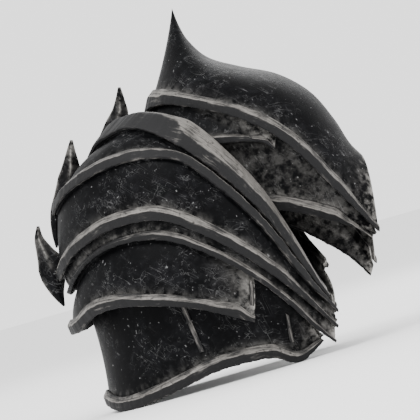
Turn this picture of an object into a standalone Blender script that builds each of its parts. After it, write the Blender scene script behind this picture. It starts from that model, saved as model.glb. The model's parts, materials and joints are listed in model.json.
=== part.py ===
"""A spiked steel pauldron of overlapping lames, standing on its bottom lame.

The front outline is ruled in shares of UP, measured to the right of the outermost horn (across)
and above the lowest rim (height). Each lame is a hoop, open towards the neck. Its front half is
worked out from its table, and its back half is the mirror of it.
"""

import math
from functools import lru_cache

import bmesh
import bpy
import numpy as np
from mathutils import Matrix, Vector
from mathutils.bvhtree import BVHTree

# Driving dimensions, in metres
UP = 0.36
DEPTH = 0.225
WALL = 0.002
SEAT = 0.0003
LOOSE = 0.0008
RIM_WIDTH = 0.012
RIM_PROUD = 0.0045
RIM_LIP = 0.0008
RIM_SEAT = 0.0006
PASS_BELOW = 0.0025
SEAM_WIDTH = 0.004
SEAM_PROUD = 0.0015
SEAM_SEAT = 0.0006
HORN_STAND_OFF = 0.006
POST_RADIUS = 0.002
POST_SEAT = 0.0006


# Shares
RIM_CREST = 0.45
RIM_LOW_SIDE = 0.7
RIM_HIGH_SIDE = 0.4
CAP_FALL = 0.25
BAND_SHARE = 0.6
TURN = 0.55
CAP_LEAN_RIDGE = 2.5
CAP_LEAN_TIP = 0.7
HORN_ROOT = 0.4
HORN_FLAT = 0.6
HORN_PLACE = 0.7
NEAR = 0.02
MERGE = 1e-6
POST_PLACE = 0.38
POST_ASIDE = 0.3

# How much the back end of a lame hangs lower than the front end (share of UP), and how much a
# lame swells out of its chord (share of its fall)
CAP_SAG = 0.08
COLLAR_SAG = 0.10
SHOULDER_SAG = -0.07
SWELLS = {"collar_upper": 0.02, "shoulder": 0.05, "upper_arm": 0.10, "middle": 0.03,
          "under": 0.02, "lower": 0.08, "foot": -0.04}

# Colour, metallic and roughness of the two steels
BLACKENED = ((0.03, 0.03, 0.035), 0.7, 0.5)
WORN = ((0.35, 0.34, 0.32), 0.9, 0.4)

# Mesh divisions
STATIONS = 14
PLATE_ROWS = 4
HORN_SIDES = 8
SEAM_RINGS = 5
POST_SIDES = 8

PERCENT = 0.01
HALF_DEPTH = DEPTH / 2

# Plan of each lame: where its ridge, its widest place and its tip lie across (percent of UP),
# its reach to the front (share of half the depth) and how far its tip pulls in (share of reach)
PLANS = {
    "cap": dict(ridge=28.2, widest=56, tip=85.5, reach=0.66, pinch=0.30),
    "collar_upper": dict(ridge=23.0, widest=56, tip=85.5, reach=0.65, pinch=0.30),
    "collar_lower": dict(ridge=23.4, widest=52, tip=84.2, reach=0.48, pinch=0.20),
    "shoulder_top": dict(ridge=20.5, widest=48, tip=72.8, reach=0.74, pinch=0.35),
    "shoulder": dict(ridge=13.8, widest=48, tip=73.0, reach=0.85, pinch=0.35),
    "upper_arm": dict(ridge=5.2, widest=45, tip=75.2, reach=0.96, pinch=0.35),
    "middle": dict(ridge=7.0, widest=44, tip=75.2, reach=1.0, pinch=0.35),
    "under": dict(ridge=9.5, widest=44, tip=74.8, reach=0.98, pinch=0.35),
    "lower": dict(ridge=10.0, widest=44, tip=75.0, reach=0.99, pinch=0.35),
    "foot": dict(ridge=18.8, widest=46, tip=71.8, reach=0.82, pinch=0.30),
}

# Lower edges from the ridge round to the tip: (across, height), percent of UP
CAP_EDGE = [(28.2, 73.5), (30.2, 74.5), (34.2, 75.0), (41.2, 74.0), (50.0, 72.0),
            (58.8, 68.2), (66.2, 62.8), (73.8, 55.2), (79.2, 50.0), (85.5, 44.0)]
COLLAR_UPPER_EDGE = [(23.0, 69.5), (28.8, 67.2), (36.2, 65.0), (44.2, 64.8), (51.2, 65.5),
                     (57.5, 65.2), (60.2, 63.8)]
COLLAR_LOWER_EDGE = [(23.4, 65.6), (26.2, 64.0), (36.2, 60.5), (46.2, 54.2), (53.8, 50.5),
                     (59.2, 49.8), (66.2, 48.8), (70.8, 47.8), (78.8, 45.8), (84.2, 43.0)]
SHOULDER_EDGE = [(13.8, 61.2), (16.2, 64.8), (20.0, 67.0), (23.8, 68.5), (28.8, 68.2),
                 (36.2, 65.0), (43.8, 60.0), (51.2, 54.0), (58.8, 46.2), (66.2, 36.2),
                 (73.0, 27.8)]
SHOULDER_TOP_EDGE = [(20.5, 69.4), (22.0, 71.0), (26.2, 72.2), (30.2, 72.5),
                     (36.2, 71.5), (40.5, 70.0), (47.8, 63.8), (56.8, 54.2), (65.5, 41.0),
                     (72.8, 30.2)]
UPPER_ARM_EDGE = [(5.2, 48.0), (7.2, 50.8), (10.0, 53.5), (13.8, 56.0), (18.8, 58.5),
                  (25.0, 60.5), (33.8, 61.2), (38.8, 60.0), (44.2, 56.2), (51.2, 50.6),
                  (58.8, 42.8), (66.2, 33.4), (75.2, 24.4)]
MIDDLE_EDGE = [(7.0, 31.8), (8.8, 34.8), (11.2, 38.0), (15.0, 41.0), (20.0, 44.0),
               (27.5, 46.2), (34.2, 46.5), (41.2, 44.2), (51.2, 39.2), (58.8, 34.2),
               (66.2, 28.5), (75.2, 20.8)]
UNDER_EDGE = [(9.5, 28.8), (11.2, 32.2), (15.0, 36.6), (20.0, 39.8), (27.5, 41.8),
              (35.0, 41.8), (43.8, 39.0), (55.2, 33.0), (63.8, 26.4), (70.0, 20.8),
              (74.8, 17.2)]
LOWER_EDGE = [(10.0, 18.5), (12.5, 19.5), (15.5, 22.5), (18.8, 24.5), (23.8, 25.8),
              (31.2, 26.2), (38.8, 26.0), (46.2, 24.8), (55.5, 22.5)]
FOOT_EDGE = [(18.8, 1.0), (23.2, 0.0), (28.8, 1.8), (38.8, 6.5), (46.2, 10.2),
             (53.8, 12.5), (60.0, 13.5), (66.2, 12.5), (71.8, 17.5)]

# The cap's crown line, station by station beside CAP_EDGE: (across, height), percent of UP
CAP_CROWN = [(34.2, 99.8), (35.8, 95.8), (38.2, 91.8), (43.2, 87.5), (51.2, 85.2),
             (60.8, 83.2), (68.8, 78.8), (74.8, 72.0), (78.0, 66.8), (79.8, 63.8)]

# The crown line of the hollow inside the cap
CAP_HOLLOW = [(34.8, 83.6), (36.4, 84.4), (38.6, 84.4), (43.4, 84.0), (51.2, 84.2),
              (60.6, 82.2), (68.4, 77.9), (74.2, 71.2), (77.4, 66.2), (79.2, 63.2)]

# Horns and the beaks under them, in the ridge plane: (across, height, width), percent of UP
HORNS = {
    "shoulder": {
        "horn": [(15.3, 63.9, 4.0), (16.4, 68.2, 3.4), (19.2, 72.4, 3.4), (20.6, 75.8, 2.2),
                 (20.9, 79.6, 0.5)],
    },
    "upper_arm": {
        "horn": [(8.4, 54.2, 6.0), (8.0, 58.0, 4.6), (8.3, 61.0, 3.2), (8.8, 64.0, 1.8),
                 (8.9, 66.2, 0.5)],
        "beak": [(6.8, 50.6, 2.6), (3.9, 48.8, 2.4), (3.9, 45.4, 2.0), (4.1, 42.8, 1.5),
                 (4.4, 40.2, 0.5)],
    },
    "middle": {
        "horn": [(6.3, 36.2, 6.2), (3.8, 35.4, 4.6), (2.0, 38.4, 3.0), (1.1, 42.0, 1.8),
                 (0.8, 44.6, 0.5)],
        "beak": [(6.9, 34.0, 3.0), (5.6, 30.4, 2.6), (6.2, 27.5, 2.0), (6.9, 25.4, 0.6)],
    },
}

# Raised strips, each made on the front and the back half: t and v at the top, t and v at the
# bottom, as (t_top, t_low, v_top, v_low)
SEAMS = {
    "lower": {"end": (0.99, 0.99, 0.10, 0.66)},
    "foot": {"seam": (0.49, 0.53, 0.38, 0.82), "end_seam": (0.905, 0.90, 0.16, 0.66)},
}

# Stations of the posts that hold the shoulder lame on the collar
POSTS = {"front": 0.45, "back": -0.45}

# Rows of FOOT_EDGE on which the pauldron stands
REST_LEFT = 1
REST_RIGHT = 7


def along_line(table, column, across):
    """Smooth value of one column of a table at a place across (Catmull-Rom through its rows)."""
    xs = [row[0] for row in table]
    ys = [row[column] for row in table]
    across = min(max(across, xs[0]), xs[-1])
    k = max(i for i in range(len(xs) - 1) if xs[i] <= across)
    span = xs[k + 1] - xs[k]
    u = (across - xs[k]) / span
    slopes = []
    for i in (k, k + 1):
        lo, hi = max(i - 1, 0), min(i + 1, len(xs) - 1)
        slopes.append((ys[hi] - ys[lo]) / (xs[hi] - xs[lo]) * span)
    return ((2 * u**3 - 3 * u**2 + 1) * ys[k] + (u**3 - 2 * u**2 + u) * slopes[0]
            + (3 * u**2 - 2 * u**3) * ys[k + 1] + (u**3 - u**2) * slopes[1])


def unit(vector):
    return vector / np.linalg.norm(vector)


class Lame:
    """One hoop of plate. point(t, v) runs t from the back tip (-1) over the ridge (0) to the
    front tip (1), and v from its upper edge (0) to its lower edge (1)."""

    def __init__(self, name, edge, top=None, parent=None, layers=1, share=1.0, sag=0.0):
        self.name, self.edge_table, self.top_table = name, edge, top
        self.parent, self.layers, self.share = parent, layers, share
        self.swell, self.sag = SWELLS.get(name, 0.0), sag

    def place(self, t, plan, table):
        """A point of an edge: a quarter ellipse in plan up to the widest place, then a parabola."""
        side = -1 if t >= 0 else 1
        s = abs(t)
        ridge, widest, end = plan["ridge"], plan["widest"], table[-1][0]
        if s < TURN:
            angle = s / TURN * math.pi / 2
            across = widest - (widest - ridge) * math.cos(angle)
            depth = math.sin(angle)
        else:
            across = widest + (end - widest) * (s - TURN) / (1 - TURN)
            depth = 1 - plan["pinch"] * ((across - widest) / (plan["tip"] - widest)) ** 2
        height = along_line(table, 1, across) * PERCENT * UP
        if side > 0:
            height -= self.sag * s**3 * UP
        return np.array([across * PERCENT * UP, side * depth * plan["reach"] * HALF_DEPTH, height])

    @lru_cache(maxsize=None)
    def edge(self, t):
        return self.place(t, PLANS[self.name], self.edge_table)

    @lru_cache(maxsize=None)
    def upper(self, t):
        """The upper end of what shows: just below the parent's edge, or the lame's own top."""
        if self.parent:
            return self.tucked(t, 1.0, PASS_BELOW)
        return self.place(t, PLANS[self.name + "_top"], self.top_table)

    def run(self, line, t):
        """The way that a line of the lame takes at t, from the back towards the front."""
        return line(min(t + NEAR, 1.0)) - line(max(t - NEAR, -1.0))

    def rise(self, t):
        """How far the section at t swells out of its chord."""
        chord = self.edge(t) - self.upper(t)
        outward = unit(np.cross(chord, self.run(self.edge, t)))
        return outward * 4 * self.swell * np.linalg.norm(chord)

    def point(self, t, v):
        high = self.upper(t)
        return high + (self.edge(t) - high) * v + self.rise(t) * v * (1 - v)

    def fall(self, t, v):
        """The way down the section at t."""
        return self.edge(t) - self.upper(t) + self.rise(t) * (1 - 2 * v)

    def normal(self, t, v):
        """The outward normal, square to the run of the lame and to its fall."""
        run = self.run(self.edge, t) * v
        if v < 1:
            run = run + self.run(self.upper, t) * (1 - v)
        return unit(np.cross(self.fall(t, v), run))

    def inner(self, t, v):
        return self.point(t, v) - self.normal(t, v) * WALL

    def band(self, t):
        """The share of the section at which the rim band begins."""
        return 1 - min(RIM_WIDTH / np.linalg.norm(self.edge(t) - self.upper(t)), BAND_SHARE)

    def tucked(self, t, v, below):
        """A point that much below the place v on the parent's inner side, clear of it. A lame
        whose stations fall between its parent's has a looser seat."""
        s = t * self.share
        snug = self.layers == 1 and self.share == 1
        gap = SEAT if snug else self.layers * (SEAT + LOOSE) + (self.layers - 1) * WALL
        down = unit(self.parent.fall(s, 1.0)) if below else 0
        return self.parent.inner(s, v) + down * below - self.parent.normal(s, v) * gap


class Cap(Lame):
    """The domed cap: each section is a quarter ellipse from the crown line down to the edge."""

    def section(self, t, v, low, crown):
        across = self.edge(t)[0] / (PERCENT * UP)
        rows = [(edge[0],) + place for edge, place in zip(CAP_EDGE, crown)]
        crown_across, crown_height = (along_line(rows, c, across) * PERCENT * UP for c in (1, 2))
        angle = v * math.pi / 2
        lean = v ** (CAP_LEAN_RIDGE + (CAP_LEAN_TIP - CAP_LEAN_RIDGE) * abs(t))
        sag = self.edge(t)[2] - self.edge(abs(t))[2]
        return np.array([crown_across + (low[0] - crown_across) * lean, low[1] * math.sin(angle),
                         low[2] + (crown_height + sag * v - low[2]) * math.cos(angle)])

    def point(self, t, v):
        return self.section(t, v, self.edge(t), CAP_CROWN)

    def inner(self, t, v):
        """The hollow's surface, which doesn't follow the peak, so that the peak is solid."""
        return self.section(t, v, self.edge(t) - self.normal(t, 1.0) * WALL, CAP_HOLLOW)

    def band(self, t):
        return 1 - RIM_WIDTH / (UP * CAP_FALL)

    def fall(self, t, v):
        return self.point(t, min(v + NEAR, 1.0)) - self.point(t, max(v - NEAR, 0.0))

    def normal(self, t, v):
        return unit(np.cross(self.fall(t, v), self.run(lambda s: self.point(s, v), t)))


def make_lames():
    cap = Cap("cap", CAP_EDGE, sag=CAP_SAG)
    shoulder = Lame("shoulder", SHOULDER_EDGE, top=SHOULDER_TOP_EDGE, sag=SHOULDER_SAG)
    upper_arm = Lame("upper_arm", UPPER_ARM_EDGE, parent=shoulder)
    middle = Lame("middle", MIDDLE_EDGE, parent=upper_arm)
    under = Lame("under", UNDER_EDGE, parent=middle)
    return [
        cap,
        Lame("collar_upper", COLLAR_UPPER_EDGE, parent=cap, share=0.62),
        Lame("collar_lower", COLLAR_LOWER_EDGE, parent=cap, layers=2, sag=COLLAR_SAG),
        shoulder,
        upper_arm,
        middle,
        under,
        Lame("lower", LOWER_EDGE, parent=under, share=0.72),
        Lame("foot", FOOT_EDGE, parent=under, layers=2, share=0.93),
    ]


def rows_at(lame, t):
    """The shares of a section at a plate's rows: evenly down to the rim band, then its edge."""
    return [lame.band(t) * k / (PLATE_ROWS - 1) for k in range(PLATE_ROWS)] + [1.0]


def stations():
    return [k / STATIONS for k in range(-STATIONS, STATIONS + 1)]


def mesh_object(name, vertices, faces, material):
    mesh = bpy.data.meshes.new(name)
    mesh.from_pydata([tuple(v) for v in vertices], [], faces)
    work = bmesh.new()
    work.from_mesh(mesh)
    bmesh.ops.remove_doubles(work, verts=work.verts, dist=MERGE)
    bmesh.ops.dissolve_degenerate(work, edges=work.edges, dist=MERGE)
    bmesh.ops.recalc_face_normals(work, faces=work.faces)
    work.to_mesh(mesh)
    work.free()
    mesh.materials.append(material)
    thing = bpy.data.objects.new(name, mesh)
    bpy.context.collection.objects.link(thing)
    return thing


def tube_faces(rings, sides):
    """Triangles that join rings of equal size one after another, and close both ends."""
    faces = []
    for r in range(rings - 1):
        for s in range(sides):
            a, b = r * sides + s, r * sides + (s + 1) % sides
            faces += [(a, b, b + sides), (a, b + sides, a + sides)]
    for start in (0, (rings - 1) * sides):
        faces += [(start, start + s, start + s + 1) for s in range(1, sides - 1)]
    return faces


def make_plate(lame, material):
    """The plate as one ring for each station: down its outer side and back up its inner side."""
    vertices = []
    for t in stations():
        outer = [(lame.point(t, v), lame.normal(t, v)) for v in rows_at(lame, t)]
        if lame.parent:
            s = t * lame.share
            band = lame.parent.band(s)
            outer = [(lame.tucked(t, band, 0), lame.parent.normal(s, band)),
                     (lame.tucked(t, 1.0, 0), lame.parent.normal(s, 1.0))] + outer
        vertices += [p for p, n in outer]
        vertices += [p - n * WALL for p, n in reversed(outer)]
    sides = len(vertices) // len(stations())
    faces = sheet_faces(len(stations()), sides, closed=True)
    return mesh_object(lame.name + "_plate", vertices, faces, material)


def make_cap_plate(cap, material):
    """The cap's two halves meet on its crown line, where their points are merged."""
    vertices = []
    for t in stations():
        rows = rows_at(cap, t)
        vertices += [cap.point(t, v) for v in rows]
        vertices += [cap.inner(t, v) for v in reversed(rows)]
    sides = len(vertices) // len(stations())
    faces = sheet_faces(len(stations()), sides, closed=False)
    return mesh_object("cap_plate", vertices, faces, material)


def sheet_faces(rings, sides, closed):
    """Triangles of a folded sheet. Its ends are ladders between its outer and inner points, and
    closed says whether its upper edge has a wall too."""
    faces = []
    for r in range(rings - 1):
        for s in range(sides if closed else sides - 1):
            a, b = r * sides + s, r * sides + (s + 1) % sides
            if s < sides // 2:
                faces += [(a, b, b + sides), (a, b + sides, a + sides)]
            else:
                faces += [(a, b, a + sides), (b, b + sides, a + sides)]
    for start in (0, (rings - 1) * sides):
        for s in range(sides // 2 - 1):
            a, b = start + s, start + s + 1
            c, d = start + sides - 2 - s, start + sides - 1 - s
            faces += [(a, b, c), (a, c, d)]
    return faces


def make_rim(lame, material):
    """The raised band, one five-sided ring for each station, seated on the plate's lower rows."""
    vertices = []
    for t in stations():
        top, low = rows_at(lame, t)[-2:]
        high_point, low_point = lame.point(t, top), lame.point(t, low)
        high_normal, low_normal = lame.normal(t, top), lame.normal(t, low)
        down = unit(low_point - high_point)
        mid_normal = unit(high_normal + low_normal)
        middle = high_point + (low_point - high_point) * RIM_CREST
        lip = low_point + down * RIM_LIP
        vertices += [high_point + high_normal * RIM_SEAT,
                     lip + low_normal * RIM_SEAT,
                     lip + low_normal * (RIM_SEAT + RIM_PROUD * RIM_LOW_SIDE),
                     middle + mid_normal * (RIM_SEAT + RIM_PROUD),
                     high_point + high_normal * (RIM_SEAT + RIM_PROUD * RIM_HIGH_SIDE)]
    return mesh_object(lame.name + "_rim", vertices, tube_faces(len(stations()), 5), material)


def make_horn(name, lame, rows, plate, material):
    """A curved spike in the ridge plane. Its root follows the plate, at the middle of the rim's
    thickness, and its sections narrow towards the tip."""
    tree = tree_of([plate])
    lift = RIM_SEAT + RIM_PROUD * HORN_ROOT
    out = lame.normal(0.0, HORN_PLACE) * HORN_STAND_OFF
    centres = [np.array([row[0] * PERCENT * UP, 0.0, row[1] * PERCENT * UP]) for row in rows]

    def on_plate(spot):
        place, normal = tree.find_nearest(Vector(spot + out))[:2]
        return np.array(place + normal * lift)

    vertices = []
    for k, (centre, row) in enumerate(zip(centres, rows)):
        run = unit(centres[min(k + 1, len(rows) - 1)] - centres[max(k - 1, 0)])
        if k == 0:
            run = lame.normal(0.0, lame.band(0.0))
        across = np.array([run[2], 0.0, -run[0]])
        for s in range(HORN_SIDES):
            angle = 2 * math.pi * s / HORN_SIDES
            half = row[2] * PERCENT * UP / 2
            spot = centre + (across * math.cos(angle)
                             + np.array([0, HORN_FLAT, 0]) * math.sin(angle)) * half
            vertices.append(on_plate(spot) if k == 0 else spot)
    root = len(vertices)
    vertices.append(on_plate(centres[0]))
    faces = [face for face in tube_faces(len(rows), HORN_SIDES) if max(face) >= HORN_SIDES]
    faces += [(root, s, (s + 1) % HORN_SIDES) for s in range(HORN_SIDES)]
    return mesh_object(name, vertices, faces, material)


def tree_of(things):
    """One search tree of several objects' faces."""
    vertices, faces = [], []
    for thing in things:
        start = len(vertices)
        vertices += [v.co for v in thing.data.vertices]
        faces += [[start + i for i in p.vertices] for p in thing.data.polygons]
    return BVHTree.FromPolygons(vertices, faces)


def make_seam(name, lame, row, side, material):
    """A thin raised strip down a plate, four-sided, from its upper to its lower end."""
    t_top, t_low, v_top, v_low = row
    vertices = []
    for k in range(SEAM_RINGS):
        u = k / (SEAM_RINGS - 1)
        t, v = side * (t_top + (t_low - t_top) * u), v_top + (v_low - v_top) * u
        step = SEAM_WIDTH / np.linalg.norm(lame.point(t, v) - lame.point(t - side * NEAR, v)) * NEAR
        for edge in (t - side * step, t):
            base, normal = lame.point(edge, v), lame.normal(edge, v)
            pair = [base + normal * SEAM_SEAT, base + normal * (SEAM_SEAT + SEAM_PROUD)]
            vertices += pair if edge != t else pair[::-1]
    return mesh_object(name, vertices, tube_faces(SEAM_RINGS, 4), material)


def make_post(name, lame, t, plate, targets, material):
    """A plain hidden post, the short way from the inner side of a lame to what lies inside it.
    Both its ends follow the metal that they face."""
    start = lame.inner(t, POST_PLACE)
    outer_tree, inner_tree = tree_of([plate]), tree_of(targets)
    hit = np.array(inner_tree.find_nearest(Vector(start))[0])
    way = unit(hit - start)
    first = unit(np.cross(way, lame.normal(t, POST_PLACE) + np.array([0.0, POST_ASIDE, 1.0])))
    second = np.cross(way, first)
    middle = (start + hit) / 2
    vertices = []
    for tree, sense in ((outer_tree, -1), (inner_tree, 1)):
        for s in range(POST_SIDES):
            angle = 2 * math.pi * s / POST_SIDES
            spot = middle + (first * math.cos(angle) + second * math.sin(angle)) * POST_RADIUS
            found = tree.ray_cast(Vector(spot), Vector(way * sense))[0]
            vertices.append(np.array(found) - way * sense * POST_SEAT)
    return mesh_object(name, vertices, tube_faces(2, POST_SIDES), material)


def join_horn(rim, horn):
    horn.hide_render = True
    horn.display_type = "WIRE"
    union = rim.modifiers.new(horn.name, "BOOLEAN")
    union.operation = "UNION"
    union.object = horn


def steel(name, colour, metallic, roughness):
    material = bpy.data.materials.new(name)
    material.use_nodes = True
    shader = material.node_tree.nodes["Principled BSDF"]
    shader.inputs["Base Color"].default_value = (*colour, 1.0)
    shader.inputs["Metallic"].default_value = metallic
    shader.inputs["Roughness"].default_value = roughness
    return material


def rest_matrix():
    """Turns the pauldron about its cross axis until its two feet are level."""
    (left, left_height), (right, right_height) = FOOT_EDGE[REST_LEFT], FOOT_EDGE[REST_RIGHT]
    tilt = math.atan2(right_height - left_height, right - left)
    return Matrix.Rotation(tilt, 4, "Y")


def settle(things):
    """Stands everything on the floor, with the middle of its box over the origin."""
    turn = rest_matrix()
    for thing in things:
        thing.data.transform(turn)
    corners = np.array([v.co for thing in things for v in thing.data.vertices])
    low, high = corners.min(axis=0), corners.max(axis=0)
    shift = Matrix.Translation((-(low[0] + high[0]) / 2, -(low[1] + high[1]) / 2, -low[2]))
    for thing in things:
        thing.data.transform(shift)


def main():
    for thing in list(bpy.data.objects):
        bpy.data.objects.remove(thing)
    black = steel("blackened_steel", *BLACKENED)
    worn = steel("worn_steel", *WORN)
    things = []
    lames = make_lames()
    for lame in lames:
        plate = (make_cap_plate if lame.name == "cap" else make_plate)(lame, black)
        rim = make_rim(lame, worn)
        things += [plate, rim]
        for name, rows in HORNS.get(lame.name, {}).items():
            horn = make_horn(lame.name + "_" + name, lame, rows, plate, worn)
            join_horn(rim, horn)
            things.append(horn)
        for name, row in SEAMS.get(lame.name, {}).items():
            for half, side in (("front", 1), ("back", -1)):
                things.append(make_seam(f"{lame.name}_{name}_{half}", lame, row, side, worn))
    collar = [thing for thing in things if thing.name.startswith("collar")]
    shoulder = [lame for lame in lames if lame.name == "shoulder"][0]
    plate = bpy.data.objects["shoulder_plate"]
    for name, t in POSTS.items():
        things.append(make_post("seat_post_" + name, shoulder, t, plate, collar, black))
    settle(things)


main()
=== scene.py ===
# %% [markdown]
# # A pauldron of blackened lames
#
# A pauldron covers the shoulder and the upper arm. It is built of lames: hoops of steel plate that
# overlap like a lobster's tail, each with a raised rim along its lower edge. The plate is blackened,
# and years of rubbing have polished the rims back to bright metal.
#
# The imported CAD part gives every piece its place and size. This script dresses it: each faceted
# solid is replaced by a fine surface with the same formula, and then gets its finish.

# %% Load the frame
import json
import math

import bmesh
import bpy
import numpy as np
from mathutils import Matrix, Vector

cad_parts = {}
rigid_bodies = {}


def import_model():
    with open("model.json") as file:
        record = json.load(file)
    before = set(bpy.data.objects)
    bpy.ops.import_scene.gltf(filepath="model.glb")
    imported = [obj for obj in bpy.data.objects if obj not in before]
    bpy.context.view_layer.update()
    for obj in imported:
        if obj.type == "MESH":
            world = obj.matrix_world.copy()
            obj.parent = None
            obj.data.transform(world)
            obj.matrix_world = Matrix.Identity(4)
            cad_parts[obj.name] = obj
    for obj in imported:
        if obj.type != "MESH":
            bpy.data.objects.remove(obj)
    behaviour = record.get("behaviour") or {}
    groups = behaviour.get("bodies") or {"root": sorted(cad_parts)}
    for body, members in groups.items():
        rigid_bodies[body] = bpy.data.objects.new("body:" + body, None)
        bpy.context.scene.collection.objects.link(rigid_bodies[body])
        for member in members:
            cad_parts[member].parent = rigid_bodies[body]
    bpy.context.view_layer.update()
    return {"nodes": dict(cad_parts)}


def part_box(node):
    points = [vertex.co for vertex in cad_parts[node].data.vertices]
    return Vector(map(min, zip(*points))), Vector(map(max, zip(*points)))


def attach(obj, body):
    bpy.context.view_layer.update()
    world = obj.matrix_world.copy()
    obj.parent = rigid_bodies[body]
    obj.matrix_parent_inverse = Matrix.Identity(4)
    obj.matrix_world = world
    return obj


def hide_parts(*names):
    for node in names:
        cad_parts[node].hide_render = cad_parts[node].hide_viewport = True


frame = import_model()

# %% [markdown]
# ## Sizes
#
# The front outline is ruled in percent of the height along the arm: across, to the right of the
# outermost horn, and height, above the lowest rim. Each lame has a plan (where its ridge, widest
# place and tip lie across, its reach to the front and how far its tip pulls in) and a table of its
# lower edge. Tables are listed, and a smooth curve through the rows does the rest.

# %% Driving sizes
# In metres: the height along the arm, half the depth from front to back, the plate's wall, the
# gaps between lames (snug, loose and below a rim), and the rim's width, height, lip and seat
UP = 0.36
DEPTH = 0.225
HALF_DEPTH = DEPTH / 2
PERCENT = UP / 100
WALL = 0.002
SEAT = 0.0003
LOOSE = 0.0008
PASS_BELOW = 0.0025
RIM_WIDTH = 0.012
RIM_PROUD = 0.0045
RIM_LIP = 0.0008
RIM_SEAT = 0.0006

# As shares: where round a hoop its widest place lies, the most of a lame that is rim, and how
# much of the height the cap's side takes up
TURN = 0.55
BAND_SHARE = 0.6
CAP_FALL = 0.25

# How much the back end of a lame hangs lower than its front end (share of UP), and how much a
# lame swells out of its chord (share of its fall)
SAGS = {"cap": 0.08, "collar_lower": 0.10, "shoulder": -0.07}
SWELLS = {"collar_upper": 0.02, "shoulder": 0.05, "upper_arm": 0.10, "middle": 0.03,
          "under": 0.02, "lower": 0.08, "foot": -0.04}

# %% [markdown]
# The plan rows and the edge rows follow. An edge runs from the ridge round to the tip, and only
# the top hoop has a table for its upper line, because nothing above it gives that line.

# %% Plans and edges of the lames
PLANS = {
    "cap": (28.2, 56, 85.5, 0.66, 0.30),
    "collar_upper": (23.0, 56, 85.5, 0.65, 0.30),
    "collar_lower": (23.4, 52, 84.2, 0.48, 0.20),
    "shoulder_top": (20.5, 48, 72.8, 0.74, 0.35),
    "shoulder": (13.8, 48, 73.0, 0.85, 0.35),
    "upper_arm": (5.2, 45, 75.2, 0.96, 0.35),
    "middle": (7.0, 44, 75.2, 1.0, 0.35),
    "under": (9.5, 44, 74.8, 0.98, 0.35),
    "lower": (10.0, 44, 75.0, 0.99, 0.35),
    "foot": (18.8, 46, 71.8, 0.82, 0.30),
}
EDGES = {
    "cap": [(28.2, 73.5), (30.2, 74.5), (34.2, 75.0), (41.2, 74.0), (50.0, 72.0),
            (58.8, 68.2), (66.2, 62.8), (73.8, 55.2), (79.2, 50.0), (85.5, 44.0)],
    "collar_upper": [(23.0, 69.5), (28.8, 67.2), (36.2, 65.0), (44.2, 64.8), (51.2, 65.5),
                     (57.5, 65.2), (60.2, 63.8)],
    "collar_lower": [(23.4, 65.6), (26.2, 64.0), (36.2, 60.5), (46.2, 54.2), (53.8, 50.5),
                     (59.2, 49.8), (66.2, 48.8), (70.8, 47.8), (78.8, 45.8), (84.2, 43.0)],
    "shoulder": [(13.8, 61.2), (16.2, 64.8), (20.0, 67.0), (23.8, 68.5), (28.8, 68.2),
                 (36.2, 65.0), (43.8, 60.0), (51.2, 54.0), (58.8, 46.2), (66.2, 36.2),
                 (73.0, 27.8)],
    "shoulder_top": [(20.5, 69.4), (22.0, 71.0), (26.2, 72.2), (30.2, 72.5), (36.2, 71.5),
                     (40.5, 70.0), (47.8, 63.8), (56.8, 54.2), (65.5, 41.0), (72.8, 30.2)],
    "upper_arm": [(5.2, 48.0), (7.2, 50.8), (10.0, 53.5), (13.8, 56.0), (18.8, 58.5),
                  (25.0, 60.5), (33.8, 61.2), (38.8, 60.0), (44.2, 56.2), (51.2, 50.6),
                  (58.8, 42.8), (66.2, 33.4), (75.2, 24.4)],
    "middle": [(7.0, 31.8), (8.8, 34.8), (11.2, 38.0), (15.0, 41.0), (20.0, 44.0),
               (27.5, 46.2), (34.2, 46.5), (41.2, 44.2), (51.2, 39.2), (58.8, 34.2),
               (66.2, 28.5), (75.2, 20.8)],
    "under": [(9.5, 28.8), (11.2, 32.2), (15.0, 36.6), (20.0, 39.8), (27.5, 41.8),
              (35.0, 41.8), (43.8, 39.0), (55.2, 33.0), (63.8, 26.4), (70.0, 20.8),
              (74.8, 17.2)],
    "lower": [(10.0, 18.5), (12.5, 19.5), (15.5, 22.5), (18.8, 24.5), (23.8, 25.8),
              (31.2, 26.2), (38.8, 26.0), (46.2, 24.8), (55.5, 22.5)],
    "foot": [(18.8, 1.0), (23.2, 0.0), (28.8, 1.8), (38.8, 6.5), (46.2, 10.2),
             (53.8, 12.5), (60.0, 13.5), (66.2, 12.5), (71.8, 17.5)],
}

# %% [markdown]
# ## Helpers for lines in space
#
# A hoop is described by a few lines, each worked out once at many stations from the back tip (-1)
# over the ridge (0) to the front tip (1), and looked up afterwards. That keeps every later formula
# a plain sum of arrays.

# %% Smooth curves and stations
STATIONS = np.linspace(-1.0, 1.0, 801)


def smooth_line(xs, ys, at):
    """The curve through the rows (xs, ys): between two rows, a cubic whose slope at a row is that
    of the straight line between the row's neighbours."""
    xs, ys = np.asarray(xs, float), np.asarray(ys, float)
    at = np.clip(at, xs[0], xs[-1])
    last = len(xs) - 1
    k = np.clip(np.searchsorted(xs, at, side="right") - 1, 0, last - 1)
    span = xs[k + 1] - xs[k]
    u = (at - xs[k]) / span

    def slope(i):
        before, after = np.maximum(i - 1, 0), np.minimum(i + 1, last)
        return (ys[after] - ys[before]) / (xs[after] - xs[before]) * span

    return ((2 * u**3 - 3 * u**2 + 1) * ys[k] + (u**3 - 2 * u**2 + u) * slope(k)
            + (3 * u**2 - 2 * u**3) * ys[k + 1] + (u**3 - u**2) * slope(k + 1))


def unit(vectors):
    return vectors / np.linalg.norm(vectors, axis=-1, keepdims=True)


def along(line, t):
    """The place on a stored line at each t, by straight steps between its stations."""
    return np.stack([np.interp(t, STATIONS, line[:, k]) for k in range(3)], axis=-1)


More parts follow.
